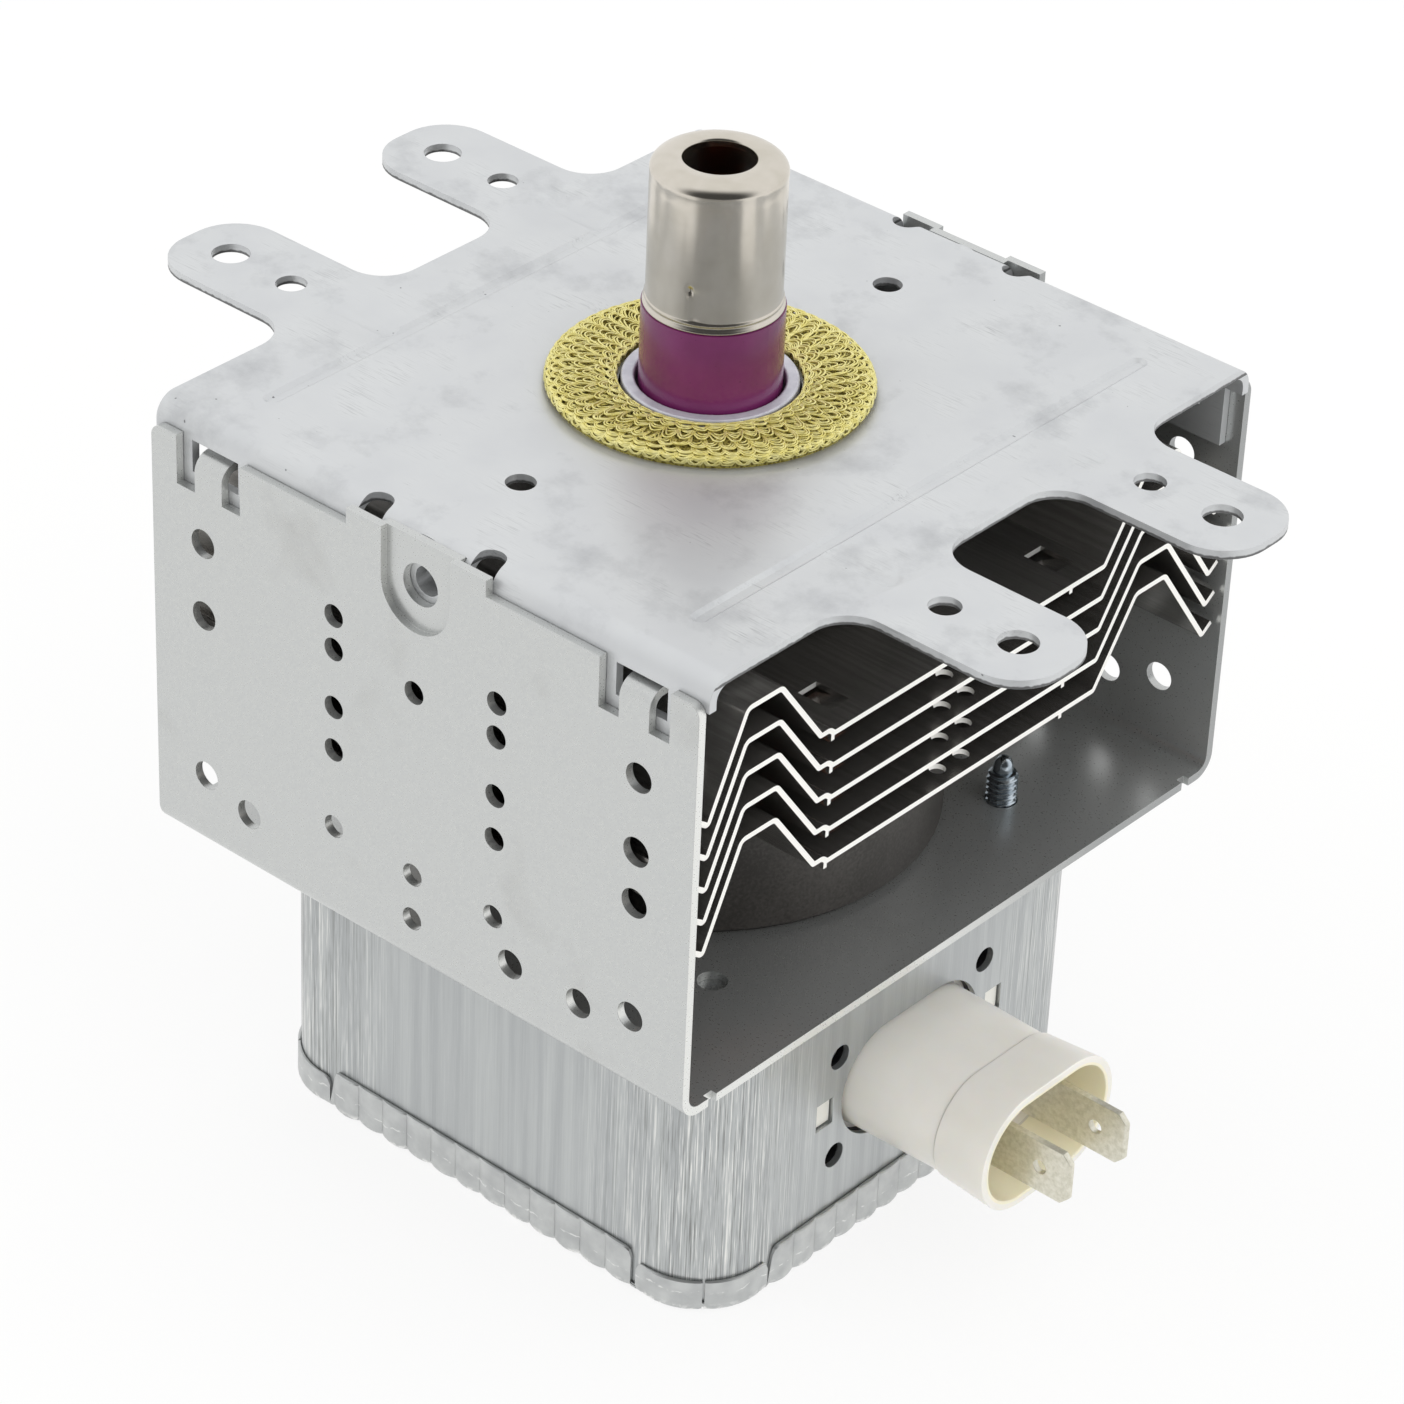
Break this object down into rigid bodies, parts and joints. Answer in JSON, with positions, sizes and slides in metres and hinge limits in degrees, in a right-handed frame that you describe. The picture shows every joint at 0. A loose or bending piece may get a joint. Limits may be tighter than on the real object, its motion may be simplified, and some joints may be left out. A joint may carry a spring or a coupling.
{
  "type": "magnetron",
  "caption": "Microwave oven magnetron: finned anode between ring magnets in a folded steel yoke, capped antenna with mesh gasket above, filter box with plug connector below.",
  "frame": {"origin": "centre of the ear holes on the top plate's upper face, which is also the antenna's axis", "axes": "+Z along the antenna, +X the way the supply connector points, walls of the yoke at -Y and +Y"},
  "size_m": [0.119, 0.087, 0.1148],
  "materials": {
    "yoke_steel": "zinc-plated sheet, satin and fine-grained",
    "plate_steel": "zinc-plated sheet, satin with light rubbing marks",
    "magnet_ferrite": "pressed ferrite, dark brown-black, satin",
    "anode_copper": "turned copper, bare",
    "pole_steel": "pressed soft iron, nickel-plated, satin",
    "seal_metal": "drawn sealing alloy, pale satin",
    "metallised_ceramic": "purple alumina, smooth matt",
    "stem_alumina": "white alumina, matt",
    "exhaust_copper": "drawn copper, pinched off",
    "cap_nickel": "drawn cup, warm nickel, satin",
    "gasket_brass": "knitted brass wire, pressed into a ring",
    "cathode_metal": "sintered and drawn refractory metal, dark grey",
    "can_steel": "drawn can, brushed bright",
    "lid_steel": "pressed lid, bright satin",
    "screw_zinc": "zinc-plated, blue-grey",
    "connector_plastic": "moulded polyester, ivory, semi-gloss",
    "capacitor_ceramic": "fired ceramic block, blue-grey",
    "ground_tin": "tinned sheet, bright",
    "blade_tin": "tin-plated brass, bright",
    "coil_enamel": "enamelled copper wire",
    "rod_ferrite": "pressed ferrite, dark grey",
    "fin_aluminium": "rolled sheet, bright, cut edges white"
  },
  "bodies": {
    "root": {"anode_cylinder": "anode_copper", "anode_vanes": "anode_copper", "antenna_cap": "cap_nickel", "antenna_ceramic": "metallised_ceramic", "antenna_lead": "exhaust_copper", "antenna_thimble": "seal_metal", "box_screws": "screw_zinc", "cathode_filament": "cathode_metal", "centre_cathode_lead": "cathode_metal", "choke_coil_1": "coil_enamel", "choke_coil_2": "coil_enamel", "connector_body": "connector_plastic", "cooling_fin_1": "fin_aluminium", "cooling_fin_2": "fin_aluminium", "cooling_fin_3": "fin_aluminium", "cooling_fin_4": "fin_aluminium", "cooling_fin_5": "fin_aluminium", "exhaust_tube": "exhaust_copper", "feedthrough_capacitor": "capacitor_ceramic", "ferrite_rod_1": "rod_ferrite", "ferrite_rod_2": "rod_ferrite", "filter_box": "can_steel", "filter_box_lid": "lid_steel", "ground_plate": "ground_tin", "lower_end_hat": "cathode_metal", "lower_magnet": "magnet_ferrite", "lower_pole_piece": "pole_steel", "mesh_gasket": "gasket_brass", "output_seal_cup": "seal_metal", "side_cathode_lead": "cathode_metal", "stem_ceramic": "stem_alumina", "stem_seal_cup": "seal_metal", "strap_rings": "anode_copper", "terminal_blade_1": "blade_tin", "terminal_blade_2": "blade_tin", "top_plate": "plate_steel", "upper_end_hat": "cathode_metal", "upper_magnet": "magnet_ferrite", "upper_pole_piece": "pole_steel", "yoke": "yoke_steel"}
  },
  "joints": []
}
